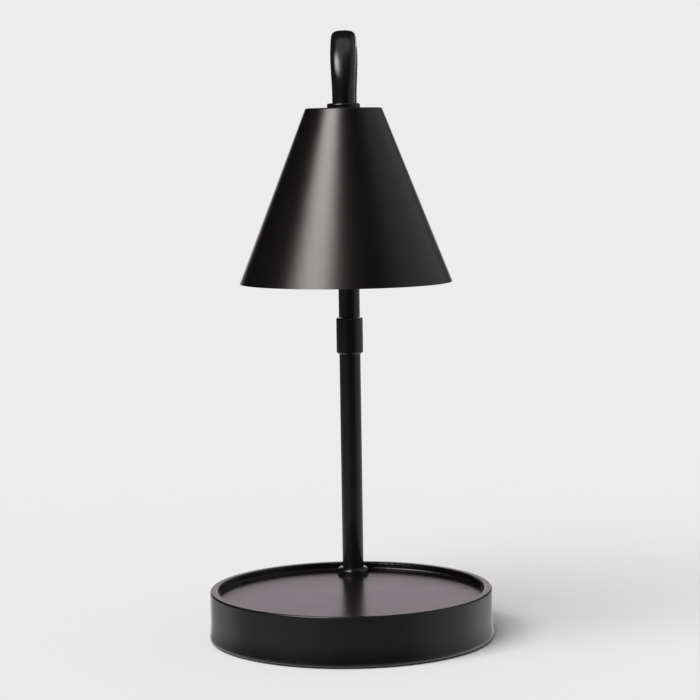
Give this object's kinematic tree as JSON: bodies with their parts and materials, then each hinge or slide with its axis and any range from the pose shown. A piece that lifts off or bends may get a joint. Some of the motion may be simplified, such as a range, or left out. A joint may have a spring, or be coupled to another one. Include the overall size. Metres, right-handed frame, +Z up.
{
  "type": "candle warmer lamp",
  "caption": "Small black table lamp with a round rimmed tray base, a rear pole with a lock collar, a sliding swivel arm that arches forward and a cone shade facing down over the tray.",
  "frame": {"origin": "centre of the foot pad's underside, on the surface that the lamp stands on", "axes": "+Z up; -Y is the front, towards which the arm arches; the pole stands at +Y; the lamp is symmetric about the YZ plane"},
  "size_m": [0.155, 0.155, 0.3295],
  "materials": {
    "satin_black": "satin black powder coat",
    "cover_black": "matt black paint",
    "iron": "raw grey casting",
    "zinc_steel": "bright zinc plate",
    "foam_pad": "matt black foam rubber",
    "grommet_black": "matt black plastic",
    "brass": "turned brass",
    "nylon": "natural nylon",
    "porcelain": "unglazed white ceramic",
    "mirror_glass": "mirror-coated glass",
    "clear_glass": "clear",
    "lead_insulation": "matt black insulation",
    "splice_plastic": "translucent nylon"
  },
  "bodies": {
    "base": {"base_shell": "satin_black", "cord_inlet_grommet": "grommet_black", "base_weight": "iron", "base_cover": "cover_black", "cover_screws": "zinc_steel", "base_pad": "foam_pad", "pole_foot_ring": "satin_black", "pole_nipple": "zinc_steel", "pole_nut": "zinc_steel", "pole_lock_washer": "zinc_steel", "lower_tube": "satin_black", "collar_bush": "brass", "base_leads": "lead_insulation", "splice_caps": "splice_plastic", "lead_coil": "lead_insulation"},
    "collar": {"lock_collar": "satin_black"},
    "collet": {"friction_collet": "nylon"},
    "arm": {"slide_tube": "satin_black", "guide_ring": "nylon", "arm_bush": "brass", "arm_tube": "satin_black", "arm_leads": "lead_insulation", "shade_washer": "satin_black", "shade_inner_washer": "zinc_steel", "shade_nipple": "zinc_steel", "shade_nut": "zinc_steel", "shade": "satin_black", "holder_bracket": "zinc_steel", "lampholder": "porcelain", "holder_screws": "zinc_steel", "holder_contacts": "brass"},
    "bulb": {"bulb_reflector": "mirror_glass", "bulb_lens": "clear_glass", "bulb_base": "porcelain", "bulb_pins": "zinc_steel", "bulb_capsule": "clear_glass"}
  },
  "joints": [
    {"name": "arm_swivel", "type": "hinge", "parent": "base", "child": "collet", "pos_m": [0, 0.0605, 0.167], "axis": [0, 0, 1], "range_deg": [-90, 90]},
    {"name": "arm_height", "type": "slide", "parent": "collet", "child": "arm", "axis": [0, 0, 1], "range_m": [0, 0.06], "deforming": ["lead_coil"]},
    {"name": "collar_twist", "type": "hinge", "parent": "base", "child": "collar", "pos_m": [0, 0.0605, 0.16], "axis": [0, 0, 1], "range_deg": [0, 90]},
    {"name": "bulb_twist", "type": "hinge", "parent": "arm", "child": "bulb", "pos_m": [0, -0.0083, 0.256], "axis": [0, 0, -1], "range_deg": [0, 30]}
  ]
}
